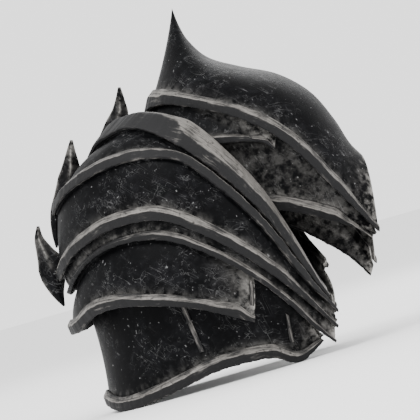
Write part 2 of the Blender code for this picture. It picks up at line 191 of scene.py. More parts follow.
def hoop_line(plan, table, sag):
    """Half a hoop is a quarter ellipse in plan from the ridge to the widest place, and then a
    parabola that pulls in towards the tip. Its height comes from the table, and on the back half
    it sinks by sag times t cubed."""
    ridge, widest, tip, reach, pinch = plan
    s = np.abs(STATIONS)
    angle = np.minimum(s / TURN, 1) * math.pi / 2
    beyond = np.clip((s - TURN) / (1 - TURN), 0, 1)
    across = np.where(s < TURN, widest - (widest - ridge) * np.cos(angle),
                      widest + (table[-1][0] - widest) * beyond)
    depth = np.where(s < TURN, np.sin(angle), 1 - pinch * ((across - widest) / (tip - widest)) ** 2)
    height = smooth_line(*zip(*table), across) * PERCENT
    height = height - np.where(STATIONS < 0, sag * s**3 * UP, 0)
    return np.stack([across * PERCENT, -np.sign(STATIONS) * depth * reach * HALF_DEPTH, height], -1)


# %% [markdown]
# ## The lame as a surface of two parameters
#
# `point(t, v)` goes round the hoop with t and down the plate with v. A lame below another one
# starts just under its parent's lower edge, on the parent's inner side, so the two can't cross.

# %% The hoop
class Lame:
    def __init__(self, name, parent=None, layers=1, share=1.0):
        """share says how far round its parent the lame reaches, and layers how many sheets lie
        between the parent and the lame's outer side."""
        self.name, self.parent, self.layers, self.share = name, parent, layers, share
        sag, swell = SAGS.get(name, 0.0), SWELLS.get(name, 0.0)
        self.low = hoop_line(PLANS[name], EDGES[name], sag)
        if parent:
            self.high = self.tucked(STATIONS, 1.0, PASS_BELOW)
        elif name + "_top" in PLANS:
            self.high = hoop_line(PLANS[name + "_top"], EDGES[name + "_top"], sag)
        else:
            self.high = self.low + np.array([0, 0, UP * CAP_FALL])
        self.low_run = np.gradient(self.low, axis=0)
        self.high_run = np.gradient(self.high, axis=0)
        chord = self.low - self.high
        out = unit(np.cross(chord, self.low_run))
        self.swell = out * 4 * swell * np.linalg.norm(chord, axis=-1, keepdims=True)

    def point(self, t, v):
        """A straight fall from the high line to the low line, plus a swell that is v (1 - v)."""
        v = np.asarray(v)[..., None]
        high = along(self.high, t)
        return high + (along(self.low, t) - high) * v + along(self.swell, t) * v * (1 - v)

    def fall(self, t, v):
        """The derivative of the point with v: the way down the plate."""
        v = np.asarray(v)[..., None]
        return along(self.low, t) - along(self.high, t) + along(self.swell, t) * (1 - 2 * v)

    def normal(self, t, v):
        """Square to the way down and to the way round, which blends from high line to low line."""
        v_ = np.asarray(v)[..., None]
        run = along(self.low_run, t) * v_ + along(self.high_run, t) * (1 - v_)
        return unit(np.cross(self.fall(t, v), run))

    def inner(self, t, v):
        return self.point(t, v) - self.normal(t, v) * WALL

    def length(self, t):
        return np.linalg.norm(along(self.low, t) - along(self.high, t), axis=-1)

    def band(self, t):
        """The share of the fall at which the rim band begins."""
        return 1 - np.minimum(RIM_WIDTH / self.length(t), BAND_SHARE)

    def tucked(self, t, v, below):
        """A point under the parent's place v, one seat inside the parent's inner side."""
        s = t * self.share
        snug = self.layers == 1 and self.share == 1
        gap = SEAT if snug else self.layers * (SEAT + LOOSE) + (self.layers - 1) * WALL
        v = np.broadcast_to(v, np.shape(s))
        down = unit(self.parent.fall(s, np.ones_like(s))) * below
        return self.parent.inner(s, v) + down - self.parent.normal(s, v) * gap


# %% [markdown]
# The cap is a dome: each section is a quarter ellipse from its crown line down to the edge, and it
# leans so that the front of the dome stays full. The crown line climbs into one tall peak. The
# hollow inside has a crown line of its own, which doesn't follow the peak.

# %% The dome
CAP_CROWN = [(34.2, 99.8), (35.8, 95.8), (38.2, 91.8), (43.2, 87.5), (51.2, 85.2),
             (60.8, 83.2), (68.8, 78.8), (74.8, 72.0), (78.0, 66.8), (79.8, 63.8)]
CAP_HOLLOW = [(34.8, 83.6), (36.4, 84.4), (38.6, 84.4), (43.4, 84.0), (51.2, 84.2),
              (60.6, 82.2), (68.4, 77.9), (74.2, 71.2), (77.4, 66.2), (79.2, 63.2)]
CAP_LEAN_RIDGE = 2.5
CAP_LEAN_TIP = 0.7
STEP = 0.004


class Dome(Lame):
    def section(self, t, v, low, crown):
        """Across and height run from the crown to the edge by a power and a cosine of v, and the
        depth grows with the sine of v."""
        edge_across = [row[0] for row in EDGES["cap"]]
        across = along(self.low, t)[..., 0] / PERCENT
        crown_across, crown_height = (smooth_line(edge_across, column, across) * PERCENT
                                      for column in zip(*crown))
        angle = v * math.pi / 2
        lean = v ** (CAP_LEAN_RIDGE + (CAP_LEAN_TIP - CAP_LEAN_RIDGE) * np.abs(t))
        sag = along(self.low, t)[..., 2] - along(self.low, np.abs(t))[..., 2]
        return np.stack([crown_across + (low[..., 0] - crown_across) * lean,
                         low[..., 1] * np.sin(angle),
                         low[..., 2] + (crown_height + sag * v - low[..., 2]) * np.cos(angle)], -1)

    def point(self, t, v):
        return self.section(t, v, along(self.low, t), CAP_CROWN)

    def inner(self, t, v):
        edge = along(self.low, t) - self.normal(t, np.ones_like(t)) * WALL
        return self.section(t, v, edge, CAP_HOLLOW)

    def band(self, t):
        return np.full(np.shape(t), 1 - RIM_WIDTH / (UP * CAP_FALL))

    def fall(self, t, v):
        return self.point(t, np.minimum(v + STEP, 1.0)) - self.point(t, np.maximum(v - STEP, 0.0))

    def normal(self, t, v):
        t, v = np.broadcast_arrays(np.asarray(t, float), v)
        run = self.point(np.minimum(t + STEP, 1.0), v) - self.point(np.maximum(t - STEP, -1.0), v)
        return unit(np.cross(self.fall(t, v), run))


cap = Dome("cap")
shoulder = Lame("shoulder")
upper_arm = Lame("upper_arm", parent=shoulder)
middle = Lame("middle", parent=upper_arm)
under = Lame("under", parent=middle)
LAMES = [
    cap,
    Lame("collar_upper", parent=cap, share=0.62),
    Lame("collar_lower", parent=cap, layers=2),
    shoulder, upper_arm, middle, under,
    Lame("lower", parent=under, share=0.72),
    Lame("foot", parent=under, layers=2, share=0.93),
]
print(len(LAMES), "lames")

# %% [markdown]
# ## Standing it on the floor
#
# The tables are ruled with the arm upright, but the real thing stands on two places of its lowest
# rim. So all the points are turned about the cross axis until those two are level, and shifted to
# where the frame has its cap.

# %% Turn and shift
REST_ROWS = (1, 7)
(FEET_LEFT, FEET_LEFT_UP), (FEET_RIGHT, FEET_RIGHT_UP) = (EDGES["foot"][k] for k in REST_ROWS)
TILT = math.atan2(FEET_RIGHT_UP - FEET_LEFT_UP, FEET_RIGHT - FEET_LEFT)


def tilted(points):
    x, y, z = np.moveaxis(points, -1, 0)
    return np.stack([x * math.cos(TILT) + z * math.sin(TILT), y,
                     z * math.cos(TILT) - x * math.sin(TILT)], -1)


peak = tilted(cap.point(np.array([0.0]), np.array([0.0])))[0]
ridge_foot = tilted(cap.point(np.array([0.0]), np.array([1.0])))[0]
cap_low, cap_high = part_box("cap_plate")
SHIFT = np.array([cap_low[0] - ridge_foot[0], 0.0, cap_high[2] - peak[2]])


def stand(points):
    return tilted(points) + SHIFT


print("turned", round(math.degrees(TILT), 1), "degrees, shifted", SHIFT.round(4))

# %% [markdown]
# ## From a grid to a mesh
#
# `skin` turns a grid of points [station, place round the section] into one closed mesh. Two numbers
# go with each point for the finishes: how worn the metal is there, together with painted light and
# sheen on some faces, and where it lies along the piece and down it, in metres, so that brush
# marks can follow the metal.

# %% The mesh maker
SHARP = math.radians(38)
MERGE = 2e-6
PITCHES = np.array([1.0, 1.73, 2.91, 4.37, 7.13])
PHASES = np.array([1.3, 2.1, 3.7, 5.3, 8.9])
WOBBLE_SPAN = 2.4


def skin(name, grid, wear_and_painted_light, along_m, down_m, finish, closed=True):
    """Quads join each station's ring to the next one, and one flat face closes each end."""
    stations, ring = grid.shape[:2]
    index = np.arange(stations * ring).reshape(stations, ring)
    nxt = np.roll(index, -1, axis=1) if closed else index[:, 1:]
    here = index if closed else index[:, :-1]
    quads = np.stack([here[:-1], nxt[:-1], nxt[1:], here[1:]], -1).reshape(-1, 4).tolist()
    quads += [index[0].tolist(), index[-1].tolist()]
    mesh = bpy.data.meshes.new(name)
    mesh.from_pydata(stand(grid).reshape(-1, 3), [], quads)
    # The wear channel also carries painted light and painted sheen on some faces
    for label, values in (("wear_and_painted_light", wear_and_painted_light), ("along", along_m), ("down", down_m)):
        layer = mesh.attributes.new(label, "FLOAT", "POINT")
        layer.data.foreach_set("value", np.broadcast_to(values, (stations, ring)).ravel())
    work = bmesh.new()
    work.from_mesh(mesh)
    bmesh.ops.remove_doubles(work, verts=work.verts, dist=MERGE)
    bmesh.ops.dissolve_degenerate(work, edges=work.edges, dist=MERGE)
    bmesh.ops.recalc_face_normals(work, faces=work.faces)
    work.to_mesh(mesh)
    work.free()
    mesh.shade_smooth()
    mesh.set_sharp_from_angle(angle=SHARP)
    mesh.materials.append(finish)
    thing = bpy.data.objects.new(name, mesh)
    bpy.context.scene.collection.objects.link(thing)
    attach(thing, "root")
    return thing


def wobble(x, seed):
    """A sum of five sines with no common period: the small unevenness of hand work, -1 to 1."""
    waves = np.sin(np.asarray(x)[..., None] * PITCHES + seed * PHASES) / np.sqrt(PITCHES)
    return waves.sum(-1) / WOBBLE_SPAN


# %% [markdown]
# ## Finishes
#
# Shader maths reads better as sums than as boxes and wires. `Wire` wraps a socket, and an
# expression on wires adds its Math nodes. Any other node comes from `Finish.node`.

# %% Wires and nodes
class Wire:
    """A socket that can be used in sums."""

    def __init__(self, finish, socket):
        self.finish, self.socket = finish, socket

    def math(self, operation, first, second):
        return self.finish.node("ShaderNodeMath", {"operation": operation}, {0: first, 1: second})

    def __add__(self, other):
        return self.math("ADD", self, other)

    def __sub__(self, other):
        return self.math("SUBTRACT", self, other)

    def __rsub__(self, other):
        return self.math("SUBTRACT", other, self)

    def __mul__(self, other):
        return self.math("MULTIPLY", self, other)

    def least(self, other):
        return self.math("MINIMUM", self, other)

    def most(self, other):
        return self.math("MAXIMUM", self, other)

    __radd__, __rmul__ = __add__, __mul__


class Finish:
    """A material whose nodes are added one by one."""

    def __init__(self, name):
        self.material = bpy.data.materials.new(name)
        self.material.use_nodes = True
        self.tree = self.material.node_tree
        self.shader = self.tree.nodes["Principled BSDF"]

    def node(self, kind, settings=None, inputs=None, out=0):
        made = self.tree.nodes.new(kind)
        for key, value in (settings or {}).items():
            setattr(made, key, value)
        for key, value in (inputs or {}).items():
            self.feed(made.inputs[key], value)
        return Wire(self, made.outputs[out])

    def feed(self, socket, value):
        if isinstance(value, Wire):
            self.tree.links.new(value.socket, socket)
        else:
            socket.default_value = value

    def attribute(self, name):
        return self.node("ShaderNodeAttribute", {"attribute_name": name}, out="Fac")

    def places(self):
        """Object coordinates, in metres."""
        return self.node("ShaderNodeTexCoord", out="Object")

    def stretched(self, vector, turn, scale):
        return self.node("ShaderNodeMapping", {"vector_type": "TEXTURE"},
                         {"Vector": vector, "Rotation": turn, "Scale": scale})

    def noise(self, vector, scale, detail=4.0, rough=0.55):
        return self.node("ShaderNodeTexNoise", {"noise_dimensions": "3D"},
                         {"Vector": vector, "Scale": scale, "Detail": detail, "Roughness": rough},
                         out="Fac")

    def between(self, value, low, high):
        """0 below low, 1 above high, and a smooth rise between them."""
        return self.node("ShaderNodeMapRange", {"interpolation_type": "SMOOTHSTEP"},
                         {"Value": value, "From Min": low, "From Max": high}, out="Result")

    def mixed(self, share, first, second):
        """A colour between two colours."""
        wide = [(*c, 1.0) if isinstance(c, tuple) else c for c in (first, second)]
        return self.node("ShaderNodeMix", {"data_type": "RGBA"}, {0: share, 6: wide[0], 7: wide[1]},
                         out=2)

    def bump(self, height, strength, distance):
        return self.node("ShaderNodeBump", None,
                         {"Height": height, "Strength": strength, "Distance": distance})

    def dress(self, colour, metallic, roughness, specular, normal):
        for name, value in (("Base Color", colour), ("Metallic", metallic),
                            ("Roughness", roughness), ("Specular IOR Level", specular),
                            ("Normal", normal)):
            self.feed(self.shader.inputs[name], value)


# %% [markdown]
# Scratches are the tell-tale of handled steel. A stretched noise has long thin islands. Keeping
# only a thin slice of its values leaves hair lines, and three turns of the same slice cross them.

# %% Scratches
SCRATCH_TURNS = [(0.4, 0.2, 0.5), (1.9, 0.7, -0.4), (-0.8, 1.1, 1.3)]
SCRATCH_STRETCH = (9.0, 0.35, 0.6)
SCRATCH_VALUE = 0.62
SCRATCH_SLICE = (0.002, 0.014)


def scratches(finish, places, scale):
    """The most of three sets of hair lines, each a thin slice of a stretched noise."""
    lines = 0.0
    for turn in SCRATCH_TURNS:
        field = finish.noise(finish.stretched(places, turn, SCRATCH_STRETCH), scale, 2.0, 0.4)
        away = finish.node("ShaderNodeMath", {"operation": "ABSOLUTE"}, {0: field - SCRATCH_VALUE})
        slice_ = 1 - finish.between(away, *SCRATCH_SLICE)
        lines = slice_ if lines == 0.0 else lines.most(slice_)
    return lines


# %% [markdown]
# The blackened plate is nearly black, with faint clouds where the blacking is thin, dry brush
# strokes that cross it, pale specks where it has flaked, and hair lines. Along the edges it is
# rubbed to dull metal, and the same tone paints a highlight along the cap's crown and an even sheen
# on the lower collar lame. A low specular level keeps the pale room from greying the black.

# %% Blackened plate
STROKE_TURNS = [(0.3, 0.65, 0.0), (0.2, -0.5, 0.3)]
STROKE_STRETCH = (7.0, 1.0, 1.0)
STROKE_NOISE = (420.0, 3.0, 0.55)

# Scale, detail and roughness of each noise
CLOUD_NOISE = (30.0, 5.0, 0.6)
BLOTCH_NOISE = (150.0, 5.0, 0.62)
GRAIN_NOISE = (1100.0, 3.0, 0.6)
SPECK_NOISE = (300.0, 2.0, 0.5)
HAIR_SCALE = 90.0

# The values of a pattern between which it rises from nothing to all
STROKE_RISE = (0.55, 0.76)
BRUSH_RISE = (0.66, 0.90)
SPECK_RISE = (0.69, 0.76)
HAIR_RISE = (0.40, 0.60)
RUB_RISE = (0.60, 0.92)
THIN_RISE = (0.42, 0.68)

BLACK, THIN_BLACK = (0.0022, 0.0023, 0.0026), (0.0065, 0.0067, 0.0076)
BRUSHED, SPECK = (0.045, 0.045, 0.047), (0.17, 0.17, 0.17)
# The rubbed tone also paints the highlight on the cap's crown and the sheen on the lower collar
HAIR, RUBBED_AND_SHEEN_TONE = (0.11, 0.11, 0.11), (0.25, 0.24, 0.225)
BRUSHED_SHARE, SPECK_SHARE, HAIR_SHARE = 0.45, 0.6, 0.40
RUBBED_METAL = 0.6
PLATE_SPECULAR = 0.03
PLATE_ROUGH, BLOTCH_ROUGH, RUBBED_SMOOTH = 0.30, 0.30, 0.05
PLATE_BUMP, PLATE_RELIEF = 0.45, 0.0008


def strokes(finish, places):
    """The most of two sets of short strokes: the high values of a noise stretched one way."""
    fields = [finish.noise(finish.stretched(places, turn, STROKE_STRETCH), *STROKE_NOISE)
              for turn in STROKE_TURNS]
    first, second = (finish.between(field, *STROKE_RISE) for field in fields)
    return first.most(second)


def blackened_plate():
    finish = Finish("blackened_plate")
    places = finish.places()
    clouds = finish.noise(places, *CLOUD_NOISE)
    blotch = finish.noise(places, *BLOTCH_NOISE)
    grain = finish.noise(places, *GRAIN_NOISE)
    specks = finish.between(finish.noise(places, *SPECK_NOISE), *SPECK_RISE)
    brushed = strokes(finish, places) * finish.between(clouds + blotch * 0.4, *BRUSH_RISE)
    hair = scratches(finish, places, HAIR_SCALE) * finish.between(clouds, *HAIR_RISE)
    # Rubbed metal at the ends and by the rims, plus the painted crown highlight and collar sheen
    rubbed_and_sheen = finish.attribute("wear_and_painted_light") * finish.between(blotch + clouds * 0.5, *RUB_RISE)
    thin = finish.between(clouds * 0.5 + blotch * 0.5, *THIN_RISE)
    colour = finish.mixed(thin, BLACK, THIN_BLACK)
    for share, tone in ((brushed * BRUSHED_SHARE, BRUSHED), (specks * SPECK_SHARE, SPECK),
                        (hair * HAIR_SHARE, HAIR), (rubbed_and_sheen.least(1.0), RUBBED_AND_SHEEN_TONE)):
        colour = finish.mixed(share, colour, tone)
    finish.dress(colour, metallic=rubbed_and_sheen.least(1.0) * RUBBED_METAL,
                 roughness=PLATE_ROUGH + blotch * BLOTCH_ROUGH - rubbed_and_sheen * RUBBED_SMOOTH,
                 specular=PLATE_SPECULAR,
                 normal=finish.bump(blotch * 0.5 + grain * 0.12 - hair * 0.3 + brushed * 0.25,
                                    PLATE_BUMP, PLATE_RELIEF))
    return finish.material


# %% [markdown]
# The rims take every knock, so their crests and lips are rubbed bright. Their upper faces are
# painted bright and their lower faces left dark, as painted light and painted shade from a lamp
# above. Brush marks run along them, dark scale stays in the pits, and the crest and the lips are
# the brightest.

# %% Worn rim
# The dark tone is scale, and on the lower faces it stands as painted shade; the bright tone is
# rubbed metal, and on the upper faces it is painted light.
SCALE_AND_SHADE_DARK, RIM_BRIGHT, PIT_DARK = (0.008, 0.008, 0.0085), (0.16, 0.151, 0.14), (0.012,) * 3
STREAK_STRETCH = 0.10
STREAK_NOISE = (520.0, 5.0, 0.68)
RIM_CLOUD_NOISE = (60.0, 5.0, 0.6)
PIT_NOISE = (260.0, 4.0, 0.65)
RIM_RISE, PIT_RISE = (1.02, 1.44), (0.57, 0.68)
PIT_SHARE = 0.75
RIM_METAL = 0.45
RIM_ROUGH, BRIGHT_SMOOTH, PIT_ROUGH = 0.56, 0.14, 0.1
RIM_SPECULAR = 0.14
RIM_BUMP, RIM_RELIEF = 0.55, 0.0009


def worn_rim():
    finish = Finish("worn_rim")
    places = finish.places()
    path = finish.node("ShaderNodeCombineXYZ", None,
                       {"X": finish.attribute("along") * STREAK_STRETCH,
                        "Y": finish.attribute("down")})
    streaks = finish.noise(path, *STREAK_NOISE)
    clouds = finish.noise(places, *RIM_CLOUD_NOISE)
    pits = finish.noise(places, *PIT_NOISE)
    wear_and_painted_light = finish.attribute("wear_and_painted_light")
    # Brush streaks and clouds, plus the channel that carries wear and the painted light on upper
    # faces
    bright = finish.between(streaks * 1.15 + clouds * 0.6 + wear_and_painted_light * 0.46, *RIM_RISE)
    colour = finish.mixed(bright, SCALE_AND_SHADE_DARK, RIM_BRIGHT)
    colour = finish.mixed(finish.between(pits, *PIT_RISE) * PIT_SHARE, colour, PIT_DARK)
    finish.dress(colour, metallic=bright * RIM_METAL,
                 roughness=RIM_ROUGH - bright * BRIGHT_SMOOTH + pits * PIT_ROUGH,
                 specular=RIM_SPECULAR,
                 normal=finish.bump(streaks * 0.5 + pits * 0.5, RIM_BUMP, RIM_RELIEF))
    return finish.material


PLATE = blackened_plate()
RIM = worn_rim()

# %% [markdown]
# ## Plates
#
# A plate is one sheet: down its outer side, round the lower edge and back up its inner side. Its
# first rows are tucked under the lame above. Wear gathers at the free ends and just above the rim.

# %% Plates of the lames
PLATE_STATIONS = np.linspace(-1.0, 1.0, 281)
TUCK_ROWS = 4
SHOWN_ROWS = 30
END_WEAR = 0.006
RIM_WEAR = 0.0025
CAP_END = 1.6
# Reach of the painted highlight below the cap's crown
CROWN_HIGHLIGHT_REACH = 0.02
RIM_FRINGE = 0.25
# Strength of the painted highlight on the cap's crown
CROWN_PAINTED_HIGHLIGHT = 0.8
# An even painted sheen that lightens the lower collar lame
COLLAR_PAINTED_SHEEN = 0.13


def plate_rows(lame):
    """Outer points, normals and shares v at each station: tucked rows first, then shown rows."""
    t = PLATE_STATIONS[:, None]
    v = np.linspace(0, 1, SHOWN_ROWS)[None]
    t_all, v_all = np.broadcast_arrays(t, v)
    points, normals, shares = lame.point(t_all, v_all), lame.normal(t_all, v_all), v_all
    if lame.parent:
        s = PLATE_STATIONS * lame.share
        band = lame.parent.band(s)
        under_rows = [band + (1 - band) * k / (TUCK_ROWS - 1) for k in range(TUCK_ROWS)]
        tucked = np.stack([lame.tucked(PLATE_STATIONS, row, 0) for row in under_rows], 1)
        turned = np.stack([lame.parent.normal(s, row) for row in under_rows], 1)
        points = np.concatenate([tucked, points], 1)
        normals = np.concatenate([turned, normals], 1)
        shares = np.concatenate([np.zeros((len(s), TUCK_ROWS)), shares], 1)
    return points, normals, shares


def path_length(line):
    """How far along a line each station lies, in metres."""
    steps = np.linalg.norm(np.diff(line, axis=0), axis=-1)
    return np.concatenate([[0], np.cumsum(steps)])


def plate_wear_and_light(lame, shares, t):
    """A sum of exponentials that fall away from the free ends, from the upper side of the rim
    and, as a painted highlight, from the cap's crown, plus an even share of painted sheen on the
    lower collar lame."""
    along_m = path_length(along(lame.low, t))
    to_end = np.minimum(along_m, along_m[-1] - along_m)[:, None]
    to_rim = (lame.band(t)[:, None] - shares) * lame.length(t)[:, None]
    reach = END_WEAR * (CAP_END if lame is cap else 1)
    wear_and_painted_light = np.exp(-to_end / reach) + RIM_FRINGE * np.exp(-np.abs(to_rim) / RIM_WEAR)
    if lame is cap:
        # A painted highlight along the cap's crown line
        wear_and_painted_light = wear_and_painted_light + CROWN_PAINTED_HIGHLIGHT * np.exp(-shares / CROWN_HIGHLIGHT_REACH)
    if lame.name == "collar_lower":
        # Painted sheen: the whole lower collar lame is lightened evenly
        wear_and_painted_light = wear_and_painted_light + COLLAR_PAINTED_SHEEN
    return np.clip(wear_and_painted_light, 0, 1)


def dress_plate(lame):
    """The sheet's section is its outer rows and then, backwards, its inner rows. A lame's inner
    side is point - normal x wall, and the dome has one of its own."""
    if lame is cap:
        t, v = np.broadcast_arrays(PLATE_STATIONS[:, None], np.linspace(0, 1, 2 * SHOWN_ROWS)[None])
        points, inner, shares = lame.point(t, v), lame.inner(t, v), v
    else:
        points, normals, shares = plate_rows(lame)
        inner = points - normals * WALL
    grid = np.concatenate([points, inner[:, ::-1]], 1)
    wear_and_painted_light = plate_wear_and_light(lame, shares, PLATE_STATIONS)
    wear_and_painted_light = np.concatenate([wear_and_painted_light, wear_and_painted_light[:, ::-1]], 1)
    along_m = path_length(along(lame.low, PLATE_STATIONS))[:, None]
    down_m = shares * lame.length(PLATE_STATIONS)[:, None]
    down_m = np.concatenate([down_m, down_m[:, ::-1]], 1)
    plate = skin(lame.name + "_sheet", grid, wear_and_painted_light, along_m, down_m, PLATE,
                 closed=lame is not cap)
    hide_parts(lame.name + "_plate")
    return plate


for lame in LAMES:
    print(lame.name, len(dress_plate(lame).data.polygons), "faces")

# %% [markdown]
# ## Rims
#
# A rim is a profile carried along the edge: five corners, each rounded by a short curve, seated on
# the plate. Its crest rises, falls and wanders a little, as a hand-filed band does, and it thins
# out towards the tips. The top hoop is all rim: a wide band with a knuckle, before which its crest
# runs high and after which it runs low, so that its upper face opens into a broad facet, painted
# bright as if lit from above.

# %% Rim profile
RIM_CORNERS = np.array([(0.0, 0.0), (1.0, 0.0), (1.0, 0.62), (0.42, 1.0), (0.0, 0.40)])
RIM_CREST = RIM_CORNERS[3, 0]
RIM_ROUND = 0.14
RIM_CORNER_STEPS = 4
RIM_STATIONS = np.linspace(-1.0, 1.0, 501)
TIP_FROM = 0.84
TIP_THIN = 0.62
WIDE_BAND = 0.03
KNUCKLE = 0.43
KNUCKLE_SPAN = 0.018
CREST_HIGH, CREST_LOW = 0.22, 0.60
UNDER_THIN = 0.35
UNDER_DULL = 0.45
UNDER_SPAN = (0.25, 0.55)
CREST_WANDER, CREST_PITCH = 0.07, 60
CREST_UNEVEN, UNEVEN_PITCH = 0.13, 200
LIP_RAGGED, RAGGED_PITCH = 0.00045, 400
TIP_LOW = 0.5

# How bright each part of a rim is made, by rubbing and on the upper face by painted light, and
# how far across the band that reaches
CREST_SHINE, CREST_REACH, CREST_ABOVE = 0.8, 0.05, 0.5
# The upper face's brightness is painted light from above
FACE_PAINTED_LIGHT, PAINTED_LIGHT_ABOVE = 0.62, 0.1
LIP_SHINE, LIP_REACH = 0.45, 0.06
BAND_SHINE, BAND_REACH, BAND_SPAN = 0.4, 0.2, (0.1, 0.5)
KNUCKLE_SHINE = 0.5


def rounded(corners, share, steps):
    """Each corner becomes a parabola between two points, a share of the way to its neighbours."""
    before, after = np.roll(corners, 1, axis=0), np.roll(corners, -1, axis=0)
    start, end = corners + (before - corners) * share, corners + (after - corners) * share
    u = np.linspace(0, 1, steps)[None, :, None]
    return (start[:, None] * (1 - u) ** 2 + corners[:, None] * 2 * u * (1 - u)
            + end[:, None] * u**2).reshape(-1, 2)


def eased(x, low, high):
    """0 below low, 1 above high, and the cubic 3 u^2 - 2 u^3 between."""
    u = np.clip((x - low) / (high - low), 0, 1)
    return u * u * (3 - 2 * u)


def crest_line(lame, along_m, seed):
    """Where the crest lies across the band at each station."""
    if lame is shoulder:
        past = eased(np.abs(RIM_STATIONS), KNUCKLE - KNUCKLE_SPAN, KNUCKLE + KNUCKLE_SPAN)[:, None]
        return CREST_HIGH + (CREST_LOW - CREST_HIGH) * past
    return RIM_CREST + CREST_WANDER * wobble(along_m * CREST_PITCH, seed + 5)


def rim_band(lame):
    """The share of the fall at which the rim begins: lower near the tips, so that it thins, and
    on the under lame lower round the ridge too."""
    thin = eased(np.abs(RIM_STATIONS), TIP_FROM, 1.0) * TIP_THIN
    band = np.full_like(thin, WIDE_BAND) if lame is shoulder else lame.band(RIM_STATIONS)
    if lame is under:
        band = band + (1 - band) * UNDER_THIN * (1 - eased(np.abs(RIM_STATIONS), *UNDER_SPAN))
    return (band + (1 - band) * thin)[:, None]


def rim_wear_and_light(lame, t, w, height):
    """The crest and the lip shine by exponentials of the way across the band (w), and the upper
    face evenly, as painted light from above that leaves the lower face dark as painted shade. The
    wide band is duller at the ridge, and its knuckle is bright."""
    crest = CREST_SHINE * np.exp(-np.abs(w - RIM_CREST) / CREST_REACH) * (height > CREST_ABOVE)
    painted_light_upper_face = FACE_PAINTED_LIGHT * (w < RIM_CREST) * (height > PAINTED_LIGHT_ABOVE)
    # Painted light: the upper face is made bright evenly, as a lamp above would light it
    lip = LIP_SHINE * np.exp(-(1 - w) / LIP_REACH)
    wear_and_painted_light = np.clip(crest + painted_light_upper_face + lip, 0, 1)
    if lame is shoulder:
        knuckle = np.exp(-np.abs(np.abs(t) - KNUCKLE) / (KNUCKLE_SPAN / 2))
        wear_and_painted_light = (wear_and_painted_light * eased(np.abs(t), *BAND_SPAN) + BAND_SHINE * (w < BAND_REACH)
                + KNUCKLE_SHINE * knuckle)
    if lame is under:
        wear_and_painted_light = wear_and_painted_light * (UNDER_DULL + (1 - UNDER_DULL) * eased(np.abs(t), *UNDER_SPAN))
    return np.clip(wear_and_painted_light, 0, 1)


def dress_rim(lame, seed):
    """Point = place on the band + normal x (seat + proud x height), with the lip below the edge."""
    profile = rounded(RIM_CORNERS, RIM_ROUND, RIM_CORNER_STEPS)
    t, w = np.broadcast_arrays(RIM_STATIONS[:, None], profile[None, :, 0])
    height = np.broadcast_to(profile[None, :, 1], t.shape)
    along_m = path_length(along(lame.low, RIM_STATIONS))[:, None]
    crest_at = crest_line(lame, along_m, seed)
    across = np.where(w < RIM_CREST, w / RIM_CREST * crest_at,
                      crest_at + (w - RIM_CREST) / (1 - RIM_CREST) * (1 - crest_at))
    band = rim_band(lame)
    v = band + (1 - band) * across
    uneven = 1 + CREST_UNEVEN * wobble(along_m * UNEVEN_PITCH, seed) * height
    ragged = LIP_RAGGED * wobble(along_m * RAGGED_PITCH, seed + 3) * w
    tip = 1 - TIP_LOW * eased(np.abs(t), TIP_FROM, 1.0)
    proud = RIM_SEAT + RIM_PROUD * height * uneven * tip
    points = lame.point(t, v) + lame.normal(t, v) * proud[..., None]
    points = points + unit(lame.fall(t, v)) * (RIM_LIP * w + ragged)[..., None]
    down_m = across * (1 - band) * lame.length(RIM_STATIONS)[:, None] + height * RIM_PROUD
    rim = skin(lame.name + "_band", points, rim_wear_and_light(lame, t, w, height), along_m, down_m, RIM)
    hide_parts(lame.name + "_rim")
    return rim


for seed, lame in enumerate(LAMES):
    print(lame.name, len(dress_rim(lame, seed).data.polygons), "faces")

# %% [markdown]
# ## Fins on the ridge
#
# On the ridge each of the three widest rims grows into a fin: a crescent that starts as a point
# below the rim, swells along it and ends above it as a horn. Its section is a lens with two crisp
# edges, which are rubbed bright, carried along a smooth curve in the ridge plane.

# %% Fins
FINS = {
    "shoulder_fin": (shoulder, [
        (12.9, 59.9, 0.5), (14.9, 62.9, 2.4), (17.6, 66.4, 4.0), (19.8, 69.9, 5.2),
        (21.1, 73.2, 4.5), (21.2, 76.8, 2.4), (21.0, 80.0, 0.7)]),
    "upper_arm_fin": (upper_arm, [
        (5.3, 39.8, 0.5), (5.2, 44.0, 2.4), (5.5, 48.6, 3.6), (7.3, 53.0, 5.2),
        (8.7, 57.0, 6.2), (8.9, 60.6, 4.3), (8.9, 64.0, 2.3), (9.0, 66.8, 0.7)]),
    "middle_fin": (middle, [
        (7.2, 25.2, 0.5), (5.6, 28.6, 3.4), (4.6, 32.2, 6.2), (4.0, 35.4, 7.0),
        (2.3, 38.8, 4.4), (0.9, 42.0, 2.4), (0.6, 45.2, 0.7)]),
}
FIN_FLAT = 0.5
FIN_RINGS = 90
FIN_SIDES = 36
FIN_CRISP = 1.7
KEEL_SHINE, KEEL_THIN = 0.9, 24
EDGE_SHINE, EDGE_THIN = 0.6, 16
KEEL_STARTS, KEEL_GROWS = 0.4, 3
POINT_THIN = 8


def lens(value):
    """A cosine or a sine raised to the crispness, with its sign kept."""
    return np.sign(value) * np.abs(value) ** FIN_CRISP


